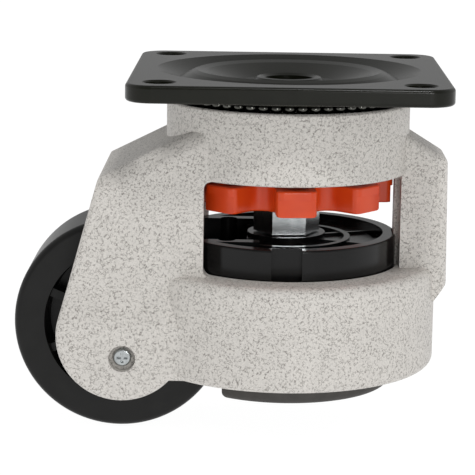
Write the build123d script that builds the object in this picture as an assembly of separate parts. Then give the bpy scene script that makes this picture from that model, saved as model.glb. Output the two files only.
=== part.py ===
from build123d import *
from math import acos, atan2, cos, hypot, pi, radians, sin, sqrt, tan
import os

# Levelling swivel castor: a top plate on two rows of balls carries a die-cast housing, which
# holds a wheel in a fork and a foot on a screw that lifts the wheel off the floor. The nut is
# turned in the housing by the thumbwheel and the screw, held in the foot, only slides.
# Millimetres. The origin is the centre of the plate's top face, on the swivel axis.
# +Z is up, the wheel trails towards -X and its axle lies along Y.

# general clearances
running_gap = 0.05       # radial, shaft in bush
slide_gap = 0.3          # between a sliding or rolling piece and what it passes
seat_gap = 0.02          # between pieces that seat on each other and turn together

# top plate
plate_size = 73.0
plate_thickness = 4.0
plate_corner_radius = 6.0
plate_edge_round = 0.8
bolt_edge = 7.5          # from each hole to the plate's edges
bolt_hole_radius = 3.5
bolt_hole_round = 0.4
slope_radius = 31.0      # the flat rim ends and the pressing begins
valley_depth = 2.2
crest_radius = 21.5
crest_depth = 0.2
bowl_radius = 13.0
bowl_depth = 3.2
bowl_floor_thickness = 3.4
plate_boss_width = 3.1   # of the ring under the plate, each side of the balls
plate_boss_drop = 5.2

# upper balls and their race
upper_ball_radius = 1.39
upper_ball_circle = 25.8
upper_ball_drop = 6.1
upper_ball_count = 56
groove_gap = 0.07
race_width = 2.2         # each side of the balls
race_thickness = 1.5
race_top_drop = 7.1

# kingpin
kingpin_neck_radius = 7.2
kingpin_body_radius = 8.2
kingpin_bore_radius = 5.7
kingpin_flange_radius = 12.4
kingpin_flange_thickness = 2.2
kingpin_lip_radius = 8.4
kingpin_lip_height = 1.5

# lower balls and their race
lower_ball_radius = 1.5
lower_ball_circle = 10.5
lower_ball_count = 20
lower_race_thickness = 1.6
lower_ball_cover = 0.55  # how far each groove reaches over a ball
web_thickness = 2.5      # of the housing between the two races

# housing
boss_radius = 28.6
boss_top_drop = 6.9
boss_bottom_drop = 23.5
boss_lip = 0.7
boss_edge_round = 0.6
cavity_clearance = 0.9   # round the kingpin's flange
ring_radius = 35.5
ring_top_drop = 45.5
ring_bottom_drop = 69.6
ring_top_round = 2.6
ring_bottom_round = 2.2
bore_radius = 26.6
fork_half_width_top = 21.6
fork_half_width_low = 22.9
fork_half_width_lobe = 25.6
fork_swell_start_drop = 49.4
fork_swell_end_drop = 56.8
fork_root_x = -15.0
fork_edge_round = 1.3
roof_edge_round = 4.4
fork_bend_round = 3.0
lobe_blend_round = 6.0    # where the lobes run into the ring
shoulder_round = 2.0
fork_slot_half_width = 12.0
shoulder_x = -43.3
shoulder_drop = 23.25
shoulder_slope = 26.7    # degrees
lobe_offset = 1.1        # centre of the fork's round end, from the axle towards +X
lobe_radius = 15.0
window_edge_x = -19.1
window_round = 1.7
fender_wall = 3.6
fender_front_drop = 31.0
wheel_gap = 1.3
wheel_space_reach = 20.0 # past the wheel, so that the space is open in front and below
post_half_width = 8.5
post_thickness = 10.75
post_draft = 0.9         # degrees
post_slope = 31.7        # degrees
post_slope_drop = 19.9
post_foot_drop = 49.3
post_foot_chamfer = 2.9
post_foot_height = 4.2
post_edge_round = 1.8
key_width = 6.4
key_height = 1.2
key_gap = 0.35
ring_key_height = 2.6

# bush of the nut
bush_radius = 9.0
bush_flange_radius = 10.6
bush_flange_thickness = 0.8
bush_length = 5.3
bush_bottom_drop = 24.3
washer_radius = 10.0

# nut
nut_sleeve_radius = 6.5
nut_sleeve_rise = 1.6    # above the bush
hex_across_flats = 13.6
clip_thickness = 0.8
clip_depth = 0.5
clip_width = 1.9
clip_opening = 70.0      # degrees

# spindle
thread_radius = 5.0
spindle_top_drop = 4.8
spindle_chamfer = 0.8
head_across_flats = 16.0
head_height = 4.43
core_radius = 11.2       # of the foot, round the spindle's head

# thumbwheel
tab_count = 8
tab_radius = 24.8
tab_width = 9.3
tab_end_round = 1.7
tab_end_step = 0.25      # of the lower part of each tab's end
tab_root_round = 3.2
thumbwheel_thickness = 6.1
thumbwheel_top_drop = 25.0
thumbwheel_edge_round = 0.5
tab_pocket_depth = 0.6
tab_pocket_margin = 1.8
thumbwheel_turn = 5.0    # degrees, of the front tab from -Y towards +X

# foot
piston_gap = 0.6
piston_top_drop = 38.45
piston_length = 26.0
piston_wall = 3.0
tray_depth = 2.1
tray_floor = 3.0
tray_ring_inner = 13.8
tray_ring_width = 1.4
tray_ring_height = 0.9
tray_rib_count = 8
tray_rib_width = 0.9
tray_rib_height = 0.6
tray_slot_width = 2.2
tray_slot_depth = 1.2
tray_slot_spread = 24.0  # degrees
tray_slot_turn = 17.0    # degrees, of its middle from the post
hub_radius = 9.2
piston_edge_round = 0.5
notch_x = -9.3
notch_half_width = 13.2
notch_relief = 2.0
groove_width = 7.0
groove_depth = 3.0
fix_boss_radius = 4.2
fix_hole_radius = 1.3
fix_circle = 15.0
fix_spread = 105.0       # degrees, of the two screws beside the wheel from the third
foot_plate_thickness = 2.5
foot_plate_inset = 0.6   # from the foot's radius
foot_plate_cut_x = -13.4
pad_thickness = 7.6
pad_cut_x = -14.5
pad_edge_round = 1.3
pad_corner_round = 2.0
pad_screw_pocket_radius = 4.2
foot_screw_radius = 1.25
foot_screw_head_radius = 3.4
foot_screw_head_height = 1.8
foot_screw_length = 9.0

# wheel and axle
axle_x = -38.8
axle_drop = 59.47
wheel_radius = 25.0
wheel_width = 22.0
tread_round = 1.5
wheel_rim_inner = 17.9
wheel_web_thickness = 7.0
wheel_hub_radius = 9.0
wheel_hub_width = 22.4
wheel_rib_count = 8
wheel_rib_width = 2.0
wheel_rib_recess = 2.2
sleeve_radius = 5.6
axle_radius = 4.0
axle_flat = 3.1          # from the axis to the flat under each end
axle_end_gap = 6.9       # from the axle's end to the lobe's outer face
washer_ring_radius = 8.2
screw_offset_x = 1.4     # of the retaining screws from the axle
screw_radius = 1.5
screw_head_radius = 2.1
screw_head_height = 1.6
screw_head_drop = 1.1    # of the head's face below the lobe's face
screw_pocket_radius = 3.1
screw_length = 9.0
recess_width = 0.7
recess_depth = 0.9

# places worked out from the sizes above
shoulder_angle = radians(shoulder_slope)
lobe_x = axle_x + lobe_offset
cavity_radius = kingpin_flange_radius + cavity_clearance
race_seat_drop = race_top_drop + race_thickness
lower_race_top_drop = race_seat_drop + web_thickness
lower_race_bottom_drop = lower_race_top_drop + lower_race_thickness
lower_ball_drop = lower_race_bottom_drop - lower_ball_cover + lower_ball_radius
flange_top_drop = lower_ball_drop + lower_ball_radius - lower_ball_cover
flange_bottom_drop = flange_top_drop + kingpin_flange_thickness
bolt_spacing = plate_size - 2 * bolt_edge
bush_top_drop = bush_bottom_drop - bush_length
nut_top_drop = bush_top_drop - nut_sleeve_rise
clip_low_drop = bush_top_drop - 2 * running_gap
thumbwheel_bottom_drop = thumbwheel_top_drop + thumbwheel_thickness
hub_top_drop = piston_top_drop + 0.3
piston_radius = bore_radius - piston_gap
piston_bottom_drop = piston_top_drop + piston_length
head_top_drop = piston_bottom_drop - seat_gap - head_height
foot_plate_radius = piston_radius - foot_plate_inset
pad_radius = foot_plate_radius
key_end_drop = piston_bottom_drop - slide_gap
foot_plate_bottom_drop = piston_bottom_drop + foot_plate_thickness
pad_bottom_drop = foot_plate_bottom_drop + pad_thickness
axle_half_length = fork_half_width_lobe - axle_end_gap
screw_x = axle_x + screw_offset_x
screw_drop = axle_drop + axle_flat + slide_gap + screw_radius
screw_face = fork_half_width_lobe - screw_head_drop
screw_seat = screw_face - screw_head_height
post_inner_x = bore_radius
post_outer_x = post_inner_x + post_thickness
key_face_x = post_inner_x - key_height


def disc(radius, top, bottom, x=0.0, y=0.0):
    """A cylinder between two drops below the origin's plane."""
    return Pos(x, y, -(top + bottom) / 2) * Cylinder(radius, bottom - top)


def tube(outer, inner, top, bottom):
    return disc(outer, top, bottom) - disc(inner, top - 1, bottom + 1)


def block(x_low, x_high, y_low, y_high, top, bottom):
    size = (x_high - x_low, y_high - y_low, bottom - top)
    middle = Pos((x_low + x_high) / 2, (y_low + y_high) / 2, -(top + bottom) / 2)
    return middle * Box(*size)


def ball_circle(radius, circle, drop, count):
    places = [Pos(circle * cos(2 * pi * i / count), circle * sin(2 * pi * i / count), -drop)
              for i in range(count)]
    return [place * Sphere(radius) for place in places]


def ball_groove(circle, radius, drop):
    return Pos(0, 0, -drop) * Torus(circle, radius + groove_gap)


def side_prism(outline, half_width):
    """A face drawn in X and Z, extruded equally to both sides of the middle plane."""
    face = make_face(Polyline(*[(x, 0, z) for x, z in outline], close=True))
    return extrude(face, amount=half_width, dir=(0, 1, 0), both=True)


def y_cylinder(radius, x, drop, y_low, y_high):
    return Pos(x, (y_low + y_high) / 2, -drop) * Rot(90, 0, 0) * Cylinder(radius, y_high - y_low)


def top_plate():
    plate = extrude(RectangleRounded(plate_size, plate_size, plate_corner_radius),
                    amount=-plate_thickness)
    rims = plate.faces().sort_by(Axis.Z)
    plate = fillet(rims[-1].edges() + rims[0].edges(), plate_edge_round)
    valley = upper_ball_circle
    under = plate_boss_drop
    boss_out = valley + plate_boss_width
    boss_in = valley - plate_boss_width
    bowl_under = bowl_depth + bowl_floor_thickness
    plate -= disc(boss_out, -1, plate_thickness + 1)
    pressing = make_face(Polyline(
        (kingpin_neck_radius + seat_gap, 0, -bowl_depth), (bowl_radius, 0, -bowl_depth),
        (crest_radius - 2.0, 0, -crest_depth - 0.5), (crest_radius, 0, -crest_depth),
        (crest_radius + 1.4, 0, -crest_depth - 0.5), (valley, 0, -valley_depth),
        (boss_out, 0, -valley_depth * (slope_radius - boss_out) / (slope_radius - valley)),
        (boss_out, 0, -under + 0.3), (boss_out - 0.3, 0, -under),
        (boss_in, 0, -under), (boss_in, 0, -plate_thickness),
        (bowl_radius + bowl_floor_thickness, 0, -plate_thickness - 0.6),
        (bowl_radius + 0.5, 0, -bowl_under),
        (kingpin_neck_radius + seat_gap, 0, -bowl_under), close=True))
    plate += revolve(pressing, Axis.Z)
    rim_slope = make_face(Polyline(
        (boss_out - 0.01, 0, -valley_depth * (slope_radius - boss_out) / (slope_radius - valley)),
        (slope_radius, 0, 0), (slope_radius, 0, 1), (boss_out - 0.01, 0, 1), close=True))
    plate -= revolve(rim_slope, Axis.Z)
    plate -= ball_groove(upper_ball_circle, upper_ball_radius, upper_ball_drop)
    for x in (-bolt_spacing / 2, bolt_spacing / 2):
        for y in (-bolt_spacing / 2, bolt_spacing / 2):
            plate -= disc(bolt_hole_radius, -1, plate_thickness + 1, x, y)
            mouth = Cone(bolt_hole_radius, bolt_hole_radius + bolt_hole_round, bolt_hole_round)
            plate -= Pos(x, y, -bolt_hole_round / 2) * mouth
    return plate


def kingpin():
    neck_top = bowl_depth + seat_gap
    shoulder = bowl_depth + bowl_floor_thickness + seat_gap
    lip_top = bowl_depth - kingpin_lip_height
    section = make_face(Polyline(
        (kingpin_bore_radius, 0, -lip_top - 0.5), (kingpin_bore_radius + 0.9, 0, -lip_top),
        (kingpin_lip_radius - 0.9, 0, -lip_top - 0.15), (kingpin_lip_radius, 0, -neck_top + 0.3),
        (kingpin_lip_radius, 0, -bowl_depth + seat_gap), (kingpin_neck_radius, 0, -bowl_depth + seat_gap),
        (kingpin_neck_radius, 0, -shoulder), (kingpin_body_radius, 0, -shoulder),
        (kingpin_body_radius, 0, -flange_top_drop), (kingpin_flange_radius, 0, -flange_top_drop),
        (kingpin_flange_radius, 0, -flange_bottom_drop), (kingpin_bore_radius, 0, -flange_bottom_drop),
        close=True))
    return revolve(section, Axis.Z) - ball_groove(lower_ball_circle, lower_ball_radius, lower_ball_drop)


def upper_race():
    ring = tube(upper_ball_circle + race_width, upper_ball_circle - race_width,
                race_top_drop, race_seat_drop)
    return ring - ball_groove(upper_ball_circle, upper_ball_radius, upper_ball_drop)


def lower_race():
    ring = tube(cavity_radius, kingpin_body_radius + slide_gap,
                lower_race_top_drop, lower_race_bottom_drop)
    return ring - ball_groove(lower_ball_circle, lower_ball_radius, lower_ball_drop)


def shoulder_height(x):
    """Z of the sloping roof over the fork at a given X."""
    return -shoulder_drop + (x - shoulder_x) * tan(shoulder_angle)


def fork_outline():
    """Side view of the fork: roof, leading edge, round end and level underside."""
    reach = hypot(lobe_x - shoulder_x, axle_drop - shoulder_drop)
    aim = atan2(axle_drop - shoulder_drop, shoulder_x - lobe_x)
    touch = aim + acos(lobe_radius / reach)
    touch_x = lobe_x + lobe_radius * cos(touch)
    touch_z = -axle_drop + lobe_radius * sin(touch)
    end_drop = ring_bottom_drop - axle_drop
    end_x = lobe_x + sqrt(lobe_radius ** 2 - end_drop ** 2)
    root = (fork_root_x, 0, -ring_bottom_drop)
    roof = Polyline(root, (fork_root_x, 0, shoulder_height(fork_root_x)),
                    (shoulder_x, 0, -shoulder_drop), (touch_x, 0, touch_z))
    end = ThreePointArc((touch_x, 0, touch_z), (lobe_x - lobe_radius, 0, -axle_drop),
                        (lobe_x, 0, -axle_drop - lobe_radius))
    heel = ThreePointArc((lobe_x, 0, -axle_drop - lobe_radius), (lobe_x + lobe_radius * sin(0.2), 0,
                         -axle_drop - lobe_radius * cos(0.2)), (end_x, 0, -ring_bottom_drop))
    base = Line((end_x, 0, -ring_bottom_drop), root)
    face = make_face([roof, end, heel, base])
    corner = face.vertices().sort_by_distance((shoulder_x, 0, -shoulder_drop))[0]
    return fillet(corner, shoulder_round)


def fork_front():
    """Front view of the fork: slightly tapered sides that swell out round the axle."""
    low = axle_drop + lobe_radius + 1
    side = [(fork_half_width_top, 0), (fork_half_width_low, -fork_swell_start_drop),
            (fork_half_width_lobe, -fork_swell_end_drop), (fork_half_width_lobe, -low)]
    outline = side + [(-y, z) for y, z in reversed(side)]
    face = make_face(Polyline(*[(fork_root_x, y, z) for y, z in outline], close=True))
    bends = [v for v in face.vertices() if -low < v.Z < 0]
    return fillet(bends, fork_bend_round)


def fork_roof():
    """Everything under the roof's plane, rounded only where the roof meets the sides."""
    past = shoulder_x - lobe_radius
    low = axle_drop + lobe_radius + 1
    outline = [(fork_root_x, shoulder_height(fork_root_x)), (past, shoulder_height(past)),
               (past, -low), (fork_root_x, -low)]
    body = side_prism(outline, plate_size) & extrude(fork_front(), amount=plate_size, dir=(-1, 0, 0))
    edges = [edge for edge in body.edges() if edge.bounding_box().size.Z > 5
             and edge.bounding_box().size.X > 5]
    return fillet(edges, roof_edge_round)


def fork():
    side = extrude(fork_outline(), amount=plate_size, dir=(0, 1, 0), both=True)
    body = side & extrude(fork_front(), amount=plate_size, dir=(-1, 0, 0))
    rims = [edge for edge in body.edges() if edge.bounding_box().min.X < fork_root_x - 2
            and edge.bounding_box().size.Y < fork_half_width_top]
    return fillet(rims, fork_edge_round) & fork_roof()


def lobe_blend():
    """The hollow curve between each lobe and the ring, drawn from above."""
    start = -ring_radius
    plan = Circle(ring_radius) + Pos((start + fork_root_x) / 2, 0) * Rectangle(
        fork_root_x - start, 2 * fork_half_width_lobe)
    meet = -sqrt(ring_radius ** 2 - fork_half_width_lobe ** 2)
    corners = [v for v in plan.vertices() if abs(v.X - meet) < 0.01]
    plan = fillet(corners, lobe_blend_round)
    top, bottom = fork_swell_end_drop, ring_bottom_drop - ring_bottom_round
    body = Pos(0, 0, -bottom) * extrude(plan, amount=bottom - top)
    reach = meet - lobe_blend_round / 2
    return body & block(reach, 0, -ring_radius, ring_radius, top, bottom)


def wheel_space():
    """The room for the wheel between the two arms and under the roof."""
    half = fork_slot_half_width
    clear = wheel_radius + wheel_gap
    round_part = y_cylinder(clear, axle_x, axle_drop, -half, half)
    front_end = axle_x - clear - wheel_space_reach
    low_end = axle_drop + clear + wheel_space_reach
    below = block(front_end, axle_x + clear, -half, half, axle_drop, low_end)
    ahead = block(front_end, axle_x, -half, half, fender_front_drop, axle_drop + 1)
    inner = -bore_radius - fender_wall
    front = shoulder_x + fender_wall
    drop = fender_wall / cos(shoulder_angle)
    attic = side_prism([(inner, shoulder_height(inner) - drop), (front, shoulder_height(front) - drop),
                        (front, -axle_drop), (inner, -axle_drop)], half)
    return round_part + below + ahead + attic


def post():
    draft = tan(radians(post_draft))
    slope = tan(radians(post_slope))
    outer_low = post_outer_x + draft * (post_foot_drop - post_slope_drop)
    inner = post_inner_x
    start = inner - 6
    outline = [(start, -post_slope_drop + (post_outer_x - start) * slope),
               (post_outer_x, -post_slope_drop), (outer_low, -post_foot_drop),
               (outer_low - post_foot_chamfer, -post_foot_drop - post_foot_height),
               (inner, -post_foot_drop - post_foot_height),
               (inner, -boss_bottom_drop), (start, -boss_bottom_drop)]
    body = side_prism(outline, post_half_width)
    edges = [edge for edge in body.edges() if edge.bounding_box().min.X > post_outer_x - 0.6
             or edge.center().Z > -post_slope_drop + 0.5 and edge.center().X > inner + 1]
    body = fillet(edges, post_edge_round)
    key = block(key_face_x, inner + 2, -key_width / 2, key_width / 2, boss_bottom_drop - 0.5, key_end_drop)
    return body, key


def post_corner():
    """The hollow curve at the top of the post's inner face."""
    radius = window_round
    x, drop = post_inner_x, boss_bottom_drop
    half = post_half_width - post_edge_round
    fill = block(x - radius, x + 0.5, -half, half, drop - 0.5, drop + radius)
    return fill - y_cylinder(radius, x - radius, drop + radius, -2 * half, 2 * half)


def windows():
    """The openings in front and behind, through which the thumbwheel is turned."""
    opening = block(window_edge_x, post_inner_x, -plate_size, plate_size, boss_bottom_drop, ring_top_drop)
    corners = [edge for edge in opening.edges().filter_by(Axis.Y) if edge.center().X < 0]
    return fillet(corners, window_round)


def race_seats():
    """Everything turned inside the boss: both races, the kingpin's room and the bush's bore."""
    seat_depth = race_top_drop - 0.1
    cut = disc(boss_radius - boss_lip, boss_top_drop - 1, seat_depth)
    cut += tube(upper_ball_circle + race_width, upper_ball_circle - race_width, seat_depth, race_seat_drop)
    cut += disc(upper_ball_circle - race_width - 0.5, seat_depth - 0.5, race_top_drop + 0.6)
    cut += disc(kingpin_body_radius + slide_gap, race_top_drop, lower_race_top_drop + 1)
    cut += disc(cavity_radius, lower_race_top_drop, bush_top_drop)
    return cut + disc(bush_radius, bush_top_drop - 0.5, boss_bottom_drop + 1)


def ring_keys():
    """Ribs down the bore, front and back, that keep the foot from turning."""
    reach = bore_radius - ring_key_height
    rib = block(reach, ring_radius - 3, -key_width / 2, key_width / 2, ring_top_drop + 2.5, key_end_drop)
    return Rot(0, 0, 90) * rib + Rot(0, 0, -90) * rib


def axle_seats():
    """Slots that the axle drops into from below, and the holes of the screws that keep it up."""
    radius = axle_radius + running_gap
    low = fork_slot_half_width - 1
    high = axle_half_length + slide_gap
    cut = y_cylinder(radius, axle_x, axle_drop, low, high)
    cut += block(axle_x - radius, axle_x + radius, low, high, axle_drop, axle_drop + 2 * lobe_radius)
    cut += y_cylinder(screw_pocket_radius, screw_x, screw_drop, screw_seat, fork_half_width_lobe + 1)
    cut += y_cylinder(screw_radius, screw_x, screw_drop, low, screw_seat + 0.5)
    return cut + mirror(cut, Plane.XZ)


def housing():
    boss = disc(boss_radius, boss_top_drop, boss_bottom_drop)
    boss = fillet(boss.edges(), boss_edge_round)
    ring = disc(ring_radius, ring_top_drop, ring_bottom_drop)
    ring = fillet(ring.edges().sort_by(Axis.Z)[-1], ring_top_round)
    ring = fillet(ring.edges().sort_by(Axis.Z)[0], ring_bottom_round)
    upright, key = post()
    body = boss + ring + (fork() - windows()) + upright + lobe_blend()
    body -= disc(bore_radius, boss_bottom_drop, ring_bottom_drop + lobe_radius)
    body -= wheel_space()
    body += key + post_corner()
    body += ring_keys()
    body -= race_seats()
    return body - axle_seats()


def spindle_bush():
    body = disc(bush_radius, bush_top_drop, bush_bottom_drop - bush_flange_thickness)
    body += disc(bush_flange_radius, bush_bottom_drop - bush_flange_thickness, bush_bottom_drop)
    return body - disc(nut_sleeve_radius + running_gap, bush_top_drop - 1, bush_bottom_drop + 1)


def thrust_washer():
    return tube(washer_radius, nut_sleeve_radius + 2 * running_gap,
                bush_bottom_drop + running_gap, thumbwheel_top_drop - running_gap)


def hexagon(across_flats, top, bottom, turn=0.0):
    """A prism with flats square to Y when it isn't turned."""
    shape = RegularPolygon(across_flats / 2, 6, major_radius=False)
    return Pos(0, 0, -bottom) * Rot(0, 0, turn) * extrude(shape, amount=bottom - top)


def spindle_nut():
    """The long nut: a round sleeve that turns in the bush over a hexagon in the thumbwheel."""
    sleeve = disc(nut_sleeve_radius, nut_top_drop, thumbwheel_top_drop)
    sleeve = chamfer(sleeve.edges().sort_by(Axis.Z)[-1], spindle_chamfer / 2)
    body = sleeve + hexagon(hex_across_flats, thumbwheel_top_drop, piston_top_drop, thumbwheel_turn)
    groove_top = clip_low_drop - clip_thickness - running_gap
    body -= tube(nut_sleeve_radius + 1, nut_sleeve_radius - clip_depth, groove_top,
                 clip_low_drop + running_gap)
    bore = disc(thread_radius + running_gap, nut_top_drop - 1, piston_top_drop + 1)
    mouth = Cone(thread_radius + running_gap + spindle_chamfer, thread_radius + running_gap,
                 spindle_chamfer)
    return body - bore - Pos(0, 0, -piston_top_drop + spindle_chamfer / 2) * mouth


def nut_clip():
    inner = nut_sleeve_radius - clip_depth + running_gap
    ring = tube(inner + clip_width, inner, clip_low_drop - clip_thickness, clip_low_drop)
    gap = radians(clip_opening / 2)
    reach = 3 * nut_sleeve_radius
    wedge = make_face(Polyline((0, 0, -clip_low_drop - 1),
                               (reach * cos(gap), reach * sin(gap), -clip_low_drop - 1),
                               (reach * cos(gap), -reach * sin(gap), -clip_low_drop - 1), close=True))
    return ring - extrude(wedge, amount=clip_thickness + 2, dir=(0, 0, 1))


def spindle():
    """The threaded bolt whose head is held in the foot."""
    shank = disc(thread_radius, spindle_top_drop, head_top_drop)
    shank = chamfer(shank.edges().sort_by(Axis.Z)[-1], spindle_chamfer)
    return shank + hexagon(head_across_flats, head_top_drop, head_top_drop + head_height)


def thumbwheel():
    half = tab_width / 2
    tab = Pos(tab_radius / 2, 0) * RectangleRounded(tab_radius, tab_width, tab_end_round)
    star = Circle(half / sin(pi / tab_count) * 0.98)
    for i in range(tab_count):
        star += Rot(0, 0, 360 / tab_count * i) * tab
    star = star.face()
    root = half / sin(pi / tab_count)
    corners = [v for v in star.vertices() if hypot(v.X, v.Y) < root + tab_root_round]
    star = fillet(corners, tab_root_round)
    body = extrude(star, amount=thumbwheel_thickness)
    rims = body.faces().sort_by(Axis.Z)
    body = fillet(rims[-1].edges() + rims[0].edges(), thumbwheel_edge_round)
    pocket_in = root + 1.0
    pocket_out = tab_radius - tab_pocket_margin
    pocket = SlotCenterToCenter(pocket_out - pocket_in - (tab_width - 2 * tab_pocket_margin),
                                tab_width - 2 * tab_pocket_margin)
    for i in range(tab_count):
        place = Rot(0, 0, 360 / tab_count * i) * Pos((pocket_in + pocket_out) / 2, 0)
        cut = extrude(pocket, amount=tab_pocket_depth + 1)
        body -= place * Pos(0, 0, thumbwheel_thickness - tab_pocket_depth) * cut
    body = Pos(0, 0, -thumbwheel_bottom_drop) * Rot(0, 0, thumbwheel_turn - 90) * body
    step_drop = thumbwheel_top_drop + thumbwheel_thickness / 3
    body -= tube(tab_radius + 1, tab_radius - tab_end_step, step_drop, thumbwheel_bottom_drop + 1)
    return body - hexagon(hex_across_flats + 2 * seat_gap, thumbwheel_top_drop - 1,
                          thumbwheel_bottom_drop + 1, thumbwheel_turn)


def wheel_notch(top, bottom):
    """The gap that the foot leaves for the wheel, with small reliefs in its corners."""
    notch = block(-2 * piston_radius, notch_x, -notch_half_width, notch_half_width, top, bottom)
    for side in (-1, 1):
        middle = (notch_x + pad_cut_x) / 2 - notch_relief
        notch += disc(notch_relief, top, bottom, middle, side * notch_half_width)
    return notch


def foot_screw_places():
    turns = [radians(turn) for turn in (-fix_spread, 0, fix_spread)]
    return [(fix_circle * cos(turn), fix_circle * sin(turn)) for turn in turns]


def piston():
    top, bottom = piston_top_drop, piston_bottom_drop
    body = disc(piston_radius, top, bottom)
    body = fillet(body.edges().sort_by(Axis.Z)[-1], piston_edge_round)
    tray = piston_radius - piston_wall
    floor = top + tray_depth
    under = floor + tray_floor
    body -= disc(tray, top - 1, floor)
    body -= disc(tray, under, bottom + 1)
    raised = tube(tray_ring_inner + tray_ring_width, tray_ring_inner, floor - tray_ring_height, floor + 1)
    body += raised
    for i in range(tray_rib_count):
        rib = block(hub_radius - 1, tray + 1, -tray_rib_width / 2, tray_rib_width / 2,
                    floor - tray_rib_height, floor + 1)
        body += Rot(0, 0, 360 / tray_rib_count * (i + 0.5)) * rib
    body += disc(hub_radius, hub_top_drop, floor)
    body += disc(core_radius, under - 1, bottom)
    for x, y in foot_screw_places():
        body += disc(fix_boss_radius, under - 1, bottom, x, y)
    wall = piston_wall
    outer = notch_half_width + wall
    shell = disc(piston_radius - piston_edge_round, top, bottom)
    near_notch = block(notch_x, notch_x + wall, -outer, outer, under - 1, bottom)
    body += near_notch & shell
    for side in (-1, 1):
        low, high = sorted((side * notch_half_width, side * outer))
        body += block(-piston_radius, notch_x + wall, low, high, top, bottom) & shell
    body -= wheel_notch(top - 1, bottom + 1)
    depth = groove_depth
    for turn in (-90, 90):
        groove = block(piston_radius - depth, piston_radius + 1, -groove_width / 2, groove_width / 2,
                       top - 1, bottom + 1)
        back = block(piston_radius - depth - wall, piston_radius - depth, -groove_width / 2 - wall,
                     groove_width / 2 + wall, top + 1, bottom)
        body += Rot(0, 0, turn) * back
        body -= Rot(0, 0, turn) * groove
    key_room = block(key_face_x - key_gap, piston_radius + 1, -key_width / 2 - key_gap,
                     key_width / 2 + key_gap, top - 1, bottom + 1)
    body -= key_room
    body -= disc(thread_radius + seat_gap, hub_top_drop - 1, bottom)
    body -= hexagon(head_across_flats + 2 * seat_gap, head_top_drop - seat_gap, bottom + 1)
    spread = tray_slot_spread / 2
    slot = [tray_slot_turn - spread, tray_slot_turn, tray_slot_turn + spread]
    reach = 2 * piston_radius
    wedge = make_face(Polyline((0, 0), *[(reach * cos(radians(a)), reach * sin(radians(a)))
                                         for a in slot], close=True))
    wedge = Pos(0, 0, -floor - tray_slot_depth) * extrude(wedge, amount=2 * tray_slot_depth)
    body -= wedge & tube(tray, tray - tray_slot_width, floor - 0.5, floor + tray_slot_depth)
    for x, y in foot_screw_places():
        body -= disc(fix_hole_radius, under + 2, bottom + 1, x, y)
    return body


def foot_plate():
    top, bottom = piston_bottom_drop, foot_plate_bottom_drop
    body = disc(foot_plate_radius, top, bottom)
    body -= block(-2 * piston_radius, foot_plate_cut_x, -piston_radius, piston_radius, top - 1, bottom + 1)
    for x, y in foot_screw_places():
        body -= disc(foot_screw_radius + 0.15, top - 1, bottom + 1, x, y)
    return body


def rubber_pad():
    top, bottom = foot_plate_bottom_drop, pad_bottom_drop
    body = disc(pad_radius, top, bottom)
    body -= block(-2 * piston_radius, pad_cut_x, -piston_radius, piston_radius, top - 1, bottom + 1)
    body = fillet(body.edges().filter_by(Axis.Z).sort_by(Axis.X)[:2], pad_corner_round)
    body = fillet(body.faces().sort_by(Axis.Z)[0].edges(), pad_edge_round)
    for x, y in foot_screw_places():
        body -= disc(pad_screw_pocket_radius, top - 1, bottom + 1, x, y)
    return body


def cross_recess(radius_across, depth):
    """Tapered cross cut into a screw head whose face is at z = 0, pointing down."""
    bar = Box(2 * radius_across, recess_width, 2 * depth)
    return bar + Rot(0, 0, 90) * bar


def screw(shank_radius, head_radius, head_height, length):
    """A pan head screw, head face at z = 0 and shank pointing down."""
    head = Pos(0, 0, -head_height / 2) * Cylinder(head_radius, head_height)
    head = fillet(head.edges().sort_by(Axis.Z)[-1], head_height * 0.35)
    shank = Pos(0, 0, -head_height - length / 2) * Cylinder(shank_radius, length)
    shank = chamfer(shank.edges().sort_by(Axis.Z)[0], shank_radius * 0.3)
    return head + shank - cross_recess(head_radius * 0.6, recess_depth)


def foot_screws():
    body = []
    for x, y in foot_screw_places():
        one = screw(foot_screw_radius, foot_screw_head_radius, foot_screw_head_height, foot_screw_length)
        body.append(Pos(x, y, -foot_plate_bottom_drop - foot_screw_head_height) * Rot(180, 0, 0) * one)
    return body


def wheel():
    half = wheel_width / 2
    hub_half = wheel_hub_width / 2
    web_half = wheel_web_thickness / 2
    side = [(wheel_hub_radius - 0.5, hub_half), (wheel_hub_radius, hub_half - 0.5),
            (wheel_hub_radius + 0.6, web_half), (wheel_rim_inner - 0.8, web_half),
            (wheel_rim_inner, half), (wheel_radius, half)]
    outline = [(sleeve_radius, hub_half)] + side
    outline += [(radius, -z) for radius, z in reversed(side)] + [(sleeve_radius, -hub_half)]
    body = revolve(make_face(Polyline(*[(radius, 0, z) for radius, z in outline], close=True)), Axis.Z)
    tread = [e for e in body.edges().filter_by(GeomType.CIRCLE) if abs(e.radius - wheel_radius) < 1e-6]
    body = fillet(tread, tread_round)
    for i in range(wheel_rib_count):
        rib = Pos((wheel_hub_radius + wheel_rim_inner) / 2, 0, 0) * Box(
            wheel_rim_inner - wheel_hub_radius + 0.6, wheel_rib_width, wheel_width - 2 * wheel_rib_recess)
        body += Rot(0, 0, 360 / wheel_rib_count * (i + 0.5)) * rib
    return Pos(axle_x, 0, -axle_drop) * Rot(90, 0, 0) * body


def wheel_sleeve():
    body = y_cylinder(sleeve_radius, axle_x, axle_drop, -wheel_hub_width / 2, wheel_hub_width / 2)
    return body - y_cylinder(axle_radius + running_gap, axle_x, axle_drop, -wheel_width, wheel_width)


def axle():
    body = y_cylinder(axle_radius, axle_x, axle_drop, -axle_half_length, axle_half_length)
    body = chamfer(body.edges().filter_by(GeomType.CIRCLE), spindle_chamfer)
    flat = block(axle_x - axle_radius, axle_x + axle_radius, fork_slot_half_width + slide_gap,
                 axle_half_length + 1, axle_drop + axle_flat, axle_drop + axle_radius + 1)
    return body - flat - mirror(flat, Plane.XZ)


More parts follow.
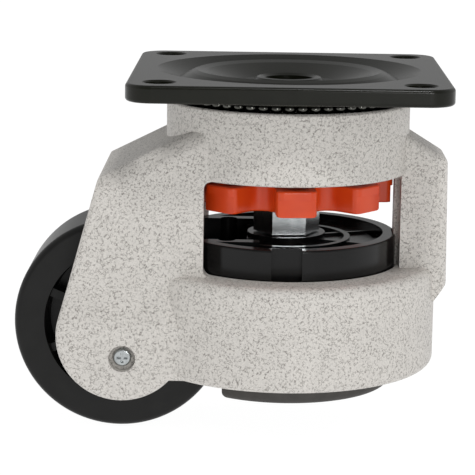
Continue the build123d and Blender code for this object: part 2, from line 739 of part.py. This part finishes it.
def axle_washers():
    rings = []
    for side in (-1, 1):
        inner = wheel_hub_width / 2 + running_gap
        outer = fork_slot_half_width
        low, high = sorted((side * inner, side * outer))
        ring = y_cylinder(washer_ring_radius, axle_x, axle_drop, low, high)
        rings.append(ring - y_cylinder(axle_radius + 2 * running_gap, axle_x, axle_drop, low - 1, high + 1))
    return rings


def axle_screws():
    one = screw(screw_radius - seat_gap, screw_head_radius, screw_head_height, screw_length)
    front = Pos(screw_x, -screw_face, -screw_drop) * Rot(90, 0, 0) * one
    return [front, mirror(front, Plane.XZ)]


def save(name, shape):
    solids = shape if isinstance(shape, list) else shape.solids()
    solids = [solid for item in solids for solid in item.solids()]
    result = solids[0] if len(solids) == 1 else Compound(children=solids)
    result.label = name
    export_step(result, f"parts/{name}.step")
    print(name, len(solids))


os.makedirs("parts", exist_ok=True)
save("top_plate", top_plate())
save("kingpin", kingpin())
save("upper_balls", ball_circle(upper_ball_radius, upper_ball_circle, upper_ball_drop, upper_ball_count))
save("upper_race", upper_race())
save("lower_balls", ball_circle(lower_ball_radius, lower_ball_circle, lower_ball_drop, lower_ball_count))
save("lower_race", lower_race())
save("housing", housing())
save("spindle_bush", spindle_bush())
save("thrust_washer", thrust_washer())
save("spindle_nut", spindle_nut())
save("nut_clip", nut_clip())
save("thumbwheel", thumbwheel())
save("spindle", spindle())
save("foot_piston", piston())
save("foot_plate", foot_plate())
save("rubber_pad", rubber_pad())
save("foot_screws", foot_screws())
save("wheel", wheel())
save("wheel_sleeve", wheel_sleeve())
save("axle", axle())
save("axle_washers", axle_washers())
save("axle_screws", axle_screws())
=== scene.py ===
import math

import bmesh
import bpy
from mathutils import Matrix, Vector


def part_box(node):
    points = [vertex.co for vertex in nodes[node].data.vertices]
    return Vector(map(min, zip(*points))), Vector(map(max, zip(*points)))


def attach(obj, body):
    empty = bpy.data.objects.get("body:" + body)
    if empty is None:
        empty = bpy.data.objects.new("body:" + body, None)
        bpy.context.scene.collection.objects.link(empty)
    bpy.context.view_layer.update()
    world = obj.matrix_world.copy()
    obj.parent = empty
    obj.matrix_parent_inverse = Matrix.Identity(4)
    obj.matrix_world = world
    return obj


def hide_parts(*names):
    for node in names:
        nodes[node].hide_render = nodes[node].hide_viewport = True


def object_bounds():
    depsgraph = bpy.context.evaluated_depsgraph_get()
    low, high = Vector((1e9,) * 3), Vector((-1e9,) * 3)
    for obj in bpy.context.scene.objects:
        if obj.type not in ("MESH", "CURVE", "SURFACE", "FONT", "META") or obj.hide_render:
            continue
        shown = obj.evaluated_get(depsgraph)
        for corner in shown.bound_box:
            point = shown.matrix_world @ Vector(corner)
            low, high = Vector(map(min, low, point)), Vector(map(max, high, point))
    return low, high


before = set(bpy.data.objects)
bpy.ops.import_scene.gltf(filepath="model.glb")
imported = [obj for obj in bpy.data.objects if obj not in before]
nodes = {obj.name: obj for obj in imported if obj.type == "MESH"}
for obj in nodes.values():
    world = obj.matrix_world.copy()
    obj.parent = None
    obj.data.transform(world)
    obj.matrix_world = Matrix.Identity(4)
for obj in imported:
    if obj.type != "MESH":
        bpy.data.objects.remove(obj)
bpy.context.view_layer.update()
mm = 0.001
cloudLow, cloudHigh = 0.3, 0.7   # the range in which a noise texture mostly lies
print("frame loaded:", len(nodes), "nodes")


def linearColour(hexText, alpha=1.0):
    channels = [int(hexText[i:i + 2], 16) / 255 for i in (0, 2, 4)]
    return [c / 12.92 if c <= 0.04045 else ((c + 0.055) / 1.055) ** 2.4 for c in channels] + [alpha]


def addNode(tree, kind, settings=None, links=None):
    node = tree.nodes.new(kind)
    for name, value in (settings or {}).items():
        if isinstance(name, int) or name in node.inputs:
            node.inputs[name].default_value = value
        else:
            setattr(node, name, value)
    for name, source in (links or {}).items():
        tree.links.new(source, node.inputs[name])
    return node


def newMaterial(name):
    material = bpy.data.materials.new(name)
    material.use_nodes = True
    tree = material.node_tree
    tree.nodes.clear()
    shader = addNode(tree, "ShaderNodeBsdfPrincipled")
    output = addNode(tree, "ShaderNodeOutputMaterial")
    tree.links.new(shader.outputs["BSDF"], output.inputs["Surface"])
    place = addNode(tree, "ShaderNodeTexCoord").outputs["Object"]
    return material, tree, shader, place


def ramp(tree, source, stops):
    node = addNode(tree, "ShaderNodeValToRGB", links={"Fac": source})
    band = node.color_ramp
    while len(band.elements) < len(stops):
        band.elements.new(0.5)
    for element, (position, colour) in zip(band.elements, stops):
        element.position = position
        element.color = colour
    return node.outputs["Color"]


def grey(value):
    return [value, value, value, 1.0]


def mixColours(tree, amount, first, second, mode="MIX"):
    node = addNode(tree, "ShaderNodeMix", {"data_type": "RGBA", "blend_type": mode})
    for socket, value in ((node.inputs[0], amount), (node.inputs[6], first), (node.inputs[7], second)):
        if isinstance(value, bpy.types.NodeSocket):
            tree.links.new(value, socket)
        else:
            socket.default_value = value
    return node.outputs[2]


def bump(tree, shader, height, strength, depth):
    node = addNode(tree, "ShaderNodeBump", {"Strength": strength, "Distance": depth}, {"Height": height})
    tree.links.new(node.outputs["Normal"], shader.inputs["Normal"])
    return node


crinklePaint = {
    "ground": "dedad4",      # ivory-grey powder coat
    "vein": "85807a",        # where the wrinkled skin opened and shows darker
    "veinSpacing": 0.62,     # millimetres between wrinkles
    "veinWidth": 0.12,       # this and the next two are shares of that spacing
    "bendSize": 1.3,
    "bendReach": 1.5,
    "breaks": (0.42, 0.56),  # between these the wrinkles fade out
    "speckSize": 0.24,       # millimetres
    "speckTone": 0.80,
    "patchSize": 9,          # millimetres
    "patchTone": 0.95,
    "roughness": 0.5,
    "relief": 0.3,
    "depth": 0.08,           # millimetres
}


def noise(tree, place, size, detail):
    settings = {"Scale": 1 / (size * mm), "Detail": detail}
    return addNode(tree, "ShaderNodeTexNoise", settings, {"Vector": place}).outputs["Fac"]


def makeCrinklePaint():
    # wrinkle-finish powder coat on die-cast aluminium: dull, pale, with short curly dark marks
    p = crinklePaint
    material, tree, shader, place = newMaterial("wrinkle_powder_coat")
    warp = addNode(tree, "ShaderNodeTexNoise",
                   {"Scale": 1 / (p["veinSpacing"] * p["bendSize"] * mm), "Detail": 1.0}, {"Vector": place})
    push = addNode(tree, "ShaderNodeVectorMath",
                   {"operation": "SCALE", "Scale": p["bendReach"] * p["veinSpacing"] * mm},
                   {"Vector": warp.outputs["Color"]})
    bent = addNode(tree, "ShaderNodeVectorMath", {"operation": "ADD"}, {0: place, 1: push.outputs[0]})
    cells = addNode(tree, "ShaderNodeTexVoronoi",
                    {"feature": "DISTANCE_TO_EDGE", "Scale": 1 / (p["veinSpacing"] * mm)},
                    {"Vector": bent.outputs[0]})
    skin = ramp(tree, cells.outputs["Distance"], [(0.0, grey(0.0)), (p["veinWidth"], grey(1.0))])
    fadeStart, fadeEnd = p["breaks"]
    whole = ramp(tree, noise(tree, place, p["veinSpacing"], 0.0),
                 [(fadeStart, grey(0.0)), (fadeEnd, grey(1.0))])
    net = mixColours(tree, whole, skin, grey(1.0))
    tone = mixColours(tree, net, linearColour(p["vein"]), linearColour(p["ground"]))
    speck = ramp(tree, noise(tree, place, p["speckSize"], 1.0),
                 [(cloudLow, grey(p["speckTone"])), (cloudHigh, grey(1.0))])
    patch = ramp(tree, noise(tree, place, p["patchSize"], 3.0),
                 [(cloudLow, grey(p["patchTone"])), (cloudHigh, grey(1.0))])
    speckled = mixColours(tree, 1.0, tone, speck, "MULTIPLY")
    colour = mixColours(tree, 1.0, speckled, patch, "MULTIPLY")
    tree.links.new(colour, shader.inputs["Base Color"])
    shader.inputs["Roughness"].default_value = p["roughness"]
    bump(tree, shader, net, p["relief"], p["depth"] * mm)
    return material


# Sizes in millimetres. Each finish drifts between its two colours, and grain is its relief.
plainFinishes = {
    "olive_satin_paint": {   # electrodeposited olive-black paint on a steel pressing
        "pieces": ["top_plate", "kingpin"],
        "low": "0e0f07", "high": "14150d", "cloudSize": 5, "cloudDetail": 4.0,
        "grainSize": 0.5, "grainRelief": 0.12, "grainDepth": 0.05,
        "Roughness": 0.24, "Specular IOR Level": 0.25,
    },
    "bright_zinc_plate": {   # turned, forged and stamped steel
        "pieces": ["spindle", "spindle_nut", "axle", "axle_screws", "axle_washers", "foot_plate",
                   "foot_screws"],
        "low": "a9adae", "high": "c4c8c9", "cloudSize": 1.5, "cloudDetail": 3.0,
        "Roughness": 0.26, "Metallic": 1.0,
    },
    "bearing_steel": {       # ground and hardened, with a film of grease; the colour is set far darker than bare steel, partly for the grease and partly as painted shade of the shadowed gap under the plate where the balls show
        "pieces": ["upper_balls", "upper_race", "lower_balls", "lower_race", "thrust_washer", "nut_clip",
                   "wheel_sleeve"],
        "low": "4a4a46", "high": "5e5e5a", "cloudSize": 2, "cloudDetail": 2.0,
        "Roughness": 0.18, "Metallic": 1.0,
    },
    "turned_brass": {
        "pieces": ["spindle_bush"],
        "low": "b39a5e", "high": "c6ad70", "cloudSize": 2, "cloudDetail": 2.0,
        "Roughness": 0.3, "Metallic": 1.0,
    },
    "orange_acetal": {       # moulded: smooth, slightly waxy, with a soft sheen
        "pieces": ["thumbwheel"],
        "low": "d23e0e", "high": "de4a14", "cloudSize": 6, "cloudDetail": 2.0,
        "grainSize": 0.8, "grainRelief": 0.1, "grainDepth": 0.03,
        "Roughness": 0.3, "IOR": 1.48,
    },
    "glass_filled_nylon": {  # nearly black, with faint flow marks
        "pieces": ["foot_piston"],
        "low": "090909", "high": "101010", "cloudSize": 4, "cloudDetail": 3.0,
        "grainSize": 0.6, "grainRelief": 0.12, "grainDepth": 0.03,
        "Roughness": 0.22, "IOR": 1.53, "Specular IOR Level": 0.26,
    },
    "wheel_nylon": {
        "pieces": ["wheel"],
        "low": "0c0c0b", "high": "131312", "cloudSize": 4, "cloudDetail": 3.0,
        "grainSize": 0.5, "grainRelief": 0.12, "grainDepth": 0.03,
        "Roughness": 0.32, "IOR": 1.53, "Specular IOR Level": 0.26,
    },
    "nitrile_rubber": {      # moulded, matt and dark grey
        "pieces": ["rubber_pad"],
        "low": "373532", "high": "423f3c", "cloudSize": 3, "cloudDetail": 4.0,
        "grainSize": 0.4, "grainRelief": 0.2, "grainDepth": 0.05,
        "Roughness": 0.62,
    },
}


def makePlainFinish(name):
    p = plainFinishes[name]
    material, tree, shader, place = newMaterial(name)
    colour = ramp(tree, noise(tree, place, p["cloudSize"], p["cloudDetail"]),
                  [(cloudLow, linearColour(p["low"])), (cloudHigh, linearColour(p["high"]))])
    tree.links.new(colour, shader.inputs["Base Color"])
    for socket in ("Roughness", "Metallic", "IOR", "Specular IOR Level"):
        if socket in p:
            shader.inputs[socket].default_value = p[socket]
    if "grainSize" in p:
        grain = noise(tree, place, p["grainSize"], 2.0)
        bump(tree, shader, grain, p["grainRelief"], p["grainDepth"] * mm)
    return material


def dress(pieces, material):
    for name in pieces:
        mesh = nodes[name].data
        mesh.materials.clear()
        mesh.materials.append(material)


dress(["housing"], makeCrinklePaint())
for name, finish in plainFinishes.items():
    dress(finish["pieces"], makePlainFinish(name))
zinc = bpy.data.materials["bright_zinc_plate"]
print("finishes assigned:", 1 + len(plainFinishes))


spindleThread = {
    "crest": 4.97,           # millimetres, just inside the nut's bore
    "root": 4.1,
    "core": 2.05,            # inside the thread's skin
    "pitch": 1.5,
    "rootFlat": 0.06,        # shares of the pitch at which each flank starts and ends
    "crestFlat": 0.43,
    "lead": 0.9,             # of the chamfer at each end
    "headHeight": 4.43,
    "weld": 0.002,
    "sides": 40,
    "rowsPerPitch": 8,
}


def makeThreadTree():
    # rolls a flat grid into a tube whose radius rises and falls along the helix
    tree = bpy.data.node_groups.new("rolledThread", "GeometryNodeTree")
    for name in ("Crest", "Root", "Pitch", "Lead", "Top", "Length"):
        tree.interface.new_socket(name, in_out="INPUT", socket_type="NodeSocketFloat")
    for name in ("Sides", "Rows"):
        tree.interface.new_socket(name, in_out="INPUT", socket_type="NodeSocketInt")
    tree.interface.new_socket("Material", in_out="INPUT", socket_type="NodeSocketMaterial")
    tree.interface.new_socket("Mesh", in_out="OUTPUT", socket_type="NodeSocketGeometry")
    given = tree.nodes.new("NodeGroupInput").outputs

    def maths(operation, *values):
        node = addNode(tree, "ShaderNodeMath", {"operation": operation})
        for index, value in enumerate(values):
            if isinstance(value, bpy.types.NodeSocket):
                tree.links.new(value, node.inputs[index])
            else:
                node.inputs[index].default_value = value
        return node.outputs[0]

    grid = addNode(tree, "GeometryNodeMeshGrid", {"Size X": 1.0},
                   {"Size Y": given["Length"], "Vertices X": given["Sides"], "Vertices Y": given["Rows"]})
    flat = addNode(tree, "ShaderNodeSeparateXYZ", None,
                   {0: addNode(tree, "GeometryNodeInputPosition").outputs[0]})
    turn, along = flat.outputs[0], flat.outputs[1]
    wave = maths("PINGPONG", maths("SUBTRACT", maths("DIVIDE", along, given["Pitch"]), turn), 0.5)
    ridge = addNode(tree, "ShaderNodeMapRange",
                    {"From Min": spindleThread["rootFlat"], "From Max": spindleThread["crestFlat"]},
                    {"Value": wave, "To Min": given["Root"], "To Max": given["Crest"]})
    toEnd = maths("SUBTRACT", maths("MULTIPLY", given["Length"], 0.5), maths("ABSOLUTE", along))
    bevel = addNode(tree, "ShaderNodeMapRange", {"From Min": 0.0},
                    {"Value": toEnd, "From Max": given["Lead"], "To Min": given["Root"],
                     "To Max": given["Crest"]})
    closed = maths("GREATER_THAN", toEnd, 0.001 * mm)
    radius = maths("MULTIPLY", maths("MINIMUM", ridge.outputs[0], bevel.outputs[0]), closed)
    angle = maths("MULTIPLY", turn, 2 * math.pi)
    middle = maths("SUBTRACT", given["Top"], maths("MULTIPLY", given["Length"], 0.5))
    rolled = addNode(tree, "ShaderNodeCombineXYZ", None,
                     {0: maths("MULTIPLY", radius, maths("COSINE", angle)),
                      1: maths("MULTIPLY", radius, maths("SINE", angle)), 2: maths("ADD", along, middle)})
    placed = addNode(tree, "GeometryNodeSetPosition", None,
                     {"Geometry": grid.outputs["Mesh"], "Position": rolled.outputs[0]})
    sewn = addNode(tree, "GeometryNodeMergeByDistance", {"Distance": spindleThread["weld"] * mm},
                   {"Geometry": placed.outputs[0]})
    real = addNode(tree, "GeometryNodeRealizeInstances", None, {"Geometry": sewn.outputs[0]})
    dressed = addNode(tree, "GeometryNodeSetMaterial", None,
                      {"Geometry": real.outputs[0], "Material": given["Material"]})
    result = tree.nodes.new("NodeGroupOutput")
    tree.links.new(dressed.outputs[0], result.inputs["Mesh"])
    return tree


def makeSpindle(material):
    # the rolled thread on the bolt, with the head that the foot holds
    p = spindleThread
    low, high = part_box("spindle")
    length = high[2] - low[2] - p["headHeight"] * mm
    blank = bpy.data.objects.new("thread", bpy.data.meshes.new("thread"))
    bpy.context.scene.collection.objects.link(blank)
    wanted = {"Crest": p["crest"] * mm, "Root": p["root"] * mm, "Pitch": p["pitch"] * mm,
              "Lead": p["lead"] * mm, "Top": high[2], "Length": length, "Sides": p["sides"] + 1,
              "Rows": int(length / (p["pitch"] * mm) * p["rowsPerPitch"]), "Material": material}
    rolling = blank.modifiers.new("thread", "NODES")
    rolling.node_group = makeThreadTree()
    for item in rolling.node_group.interface.items_tree:
        if item.in_out == "INPUT":
            rolling[item.identifier] = wanted[item.name]
    ready = blank.evaluated_get(bpy.context.evaluated_depsgraph_get())
    thread = bpy.data.meshes.new_from_object(ready)
    bpy.data.objects.remove(blank)
    shape = bmesh.new()
    shape.from_mesh(nodes["spindle"].data)
    bmesh.ops.remove_doubles(shape, verts=shape.verts, dist=0.001 * mm)
    headTop, slack = low[2] + p["headHeight"] * mm, 0.02 * mm
    for vertex in shape.verts:
        reach = vertex.co.xy.length
        if vertex.co.z > headTop - slack and 0 < reach < high[0] - 3 * mm:
            vertex.co.xy *= p["core"] * mm / reach
        if vertex.co.z > headTop + slack:
            vertex.co.z -= p["lead"] * mm
    shape.from_mesh(thread)
    mesh = bpy.data.meshes.new("threaded_spindle")
    shape.to_mesh(mesh)
    shape.free()
    mesh.materials.clear()
    mesh.materials.append(material)
    bolt = bpy.data.objects.new("threaded_spindle", mesh)
    bpy.context.scene.collection.objects.link(bolt)
    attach(bolt, "foot")
    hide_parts("spindle")
    print("spindle thread rolled:", len(mesh.polygons), "faces")


makeSpindle(zinc)


stage = {
    "floorDrop": 0.3,        # millimetres under the lowest point of the wheel
    "floorSize": 8.0,        # metres
    "floorSeen": 1.09,       # brightness of the floor to the camera, and to the object above it
    "floorGlow": 1.0,
    "shadowShare": 0.10,
    "frontRoom": 0.30,       # brightness of the room in front, behind and more to either side
    "backRoom": 0.42,
    "sideRoom": 0.50,
}
lamps = {
    # metres and watts
    "key": {"place": (0.10, -0.44, 0.72), "size": 0.10, "power": 1.8},
    "front": {"place": (0.18, -0.80, 0.10), "size": 0.15, "power": 1.3},
}
lampAim = (0, 0, -0.04)


def makeWhiteStage(name):
    # pale paper lit from below, so that it reads as white and keeps a trace of shadow
    material = bpy.data.materials.new(name)
    material.use_nodes = True
    tree = material.node_tree
    tree.nodes.clear()
    paper = addNode(tree, "ShaderNodeBsdfDiffuse", {"Color": linearColour("f0f0f0")})
    path = addNode(tree, "ShaderNodeLightPath")
    more = stage["floorSeen"] - stage["floorGlow"]
    strength = addNode(tree, "ShaderNodeMath", {"operation": "MULTIPLY_ADD", 1: more, 2: stage["floorGlow"]},
                       {0: path.outputs["Is Camera Ray"]})
    glow = addNode(tree, "ShaderNodeEmission", {"Color": grey(1.0)}, {"Strength": strength.outputs[0]})
    blend = addNode(tree, "ShaderNodeMixShader", {0: 1 - stage["shadowShare"]})
    tree.links.new(paper.outputs[0], blend.inputs[1])
    tree.links.new(glow.outputs[0], blend.inputs[2])
    output = addNode(tree, "ShaderNodeOutputMaterial")
    tree.links.new(blend.outputs[0], output.inputs["Surface"])
    return material


def makeFloor():
    half = stage["floorSize"] / 2
    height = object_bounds()[0][2] - stage["floorDrop"] * mm
    mesh = bpy.data.meshes.new("floor")
    corners = [(-half, -half, height), (half, -half, height), (half, half, height), (-half, half, height)]
    mesh.from_pydata(corners, [], [(0, 1, 2, 3)])
    floor = bpy.data.objects.new("floor", mesh)
    bpy.context.scene.collection.objects.link(floor)
    mesh.materials.append(makeWhiteStage("white_paper"))


def makeWorld():
    # a white room, brighter on both sides and in front than behind the object
    world = bpy.data.worlds.new("studio")
    bpy.context.scene.world = world
    world.use_nodes = True
    tree = world.node_tree
    tree.nodes.clear()
    aim = addNode(tree, "ShaderNodeTexCoord").outputs["Generated"]
    parts = addNode(tree, "ShaderNodeSeparateXYZ", None, {0: aim})
    ahead = addNode(tree, "ShaderNodeMapRange", {"From Min": 0.4, "From Max": -0.4,
                                                 "To Min": stage["backRoom"], "To Max": stage["frontRoom"]},
                    {"Value": parts.outputs["Y"]})
    side = addNode(tree, "ShaderNodeMath", {"operation": "MULTIPLY"},
                   {0: parts.outputs["X"], 1: parts.outputs["X"]})
    total = addNode(tree, "ShaderNodeMath", {"operation": "MULTIPLY_ADD", 1: stage["sideRoom"]},
                    {0: side.outputs[0], 2: ahead.outputs["Result"]})
    room = addNode(tree, "ShaderNodeBackground", {"Color": grey(1.0)}, {"Strength": total.outputs[0]})
    white = addNode(tree, "ShaderNodeBackground", {"Color": grey(1.0), "Strength": 1.0})
    path = addNode(tree, "ShaderNodeLightPath")
    blend = addNode(tree, "ShaderNodeMixShader")
    tree.links.new(path.outputs["Is Camera Ray"], blend.inputs[0])
    tree.links.new(room.outputs[0], blend.inputs[1])
    tree.links.new(white.outputs[0], blend.inputs[2])
    output = addNode(tree, "ShaderNodeOutputWorld")
    tree.links.new(blend.outputs[0], output.inputs["Surface"])


def addSoftbox(name):
    p = lamps[name]
    lamp = bpy.data.lights.new(name, "AREA")
    lamp.shape = "SQUARE"
    lamp.size = p["size"]
    lamp.energy = p["power"]
    softbox = bpy.data.objects.new(name, lamp)
    bpy.context.scene.collection.objects.link(softbox)
    softbox.location = p["place"]
    softbox.rotation_euler = (Vector(lampAim) - Vector(p["place"])).to_track_quat("-Z", "Y").to_euler()


camera = {
    "place": (-5.216, -489.0, 56.531),   # millimetres
    "lens": 158.28,
    "sensor": 36.0,
    "nearest": 0.01,         # metres
    "yaw": -0.0130,
    "pitch": 0.1961,
    "roll": 0.0139,
}


def makeCamera():
    lens = bpy.data.cameras.new("camera")
    lens.lens = camera["lens"]
    lens.sensor_width = camera["sensor"]
    lens.clip_start = camera["nearest"]
    eye = bpy.data.objects.new("camera", lens)
    bpy.context.scene.collection.objects.link(eye)
    yaw, pitch, roll = camera["yaw"], camera["pitch"], camera["roll"]
    forward = Vector((math.sin(yaw) * math.cos(pitch), math.cos(yaw) * math.cos(pitch), -math.sin(pitch)))
    level = Vector((math.cos(yaw), -math.sin(yaw), 0.0))
    upward = level.cross(forward)
    right = math.cos(roll) * level + math.sin(roll) * upward
    top = math.cos(roll) * upward - math.sin(roll) * level
    turn = Matrix((right, top, -forward)).transposed()
    eye.matrix_world = Matrix.Translation(Vector(camera["place"]) * mm) @ turn.to_4x4()
    bpy.context.scene.camera = eye


makeFloor()
makeWorld()
for name in lamps:
    addSoftbox(name)
makeCamera()
bpy.context.scene.view_settings.view_transform = "Standard"
print("stage, lights and camera ready")
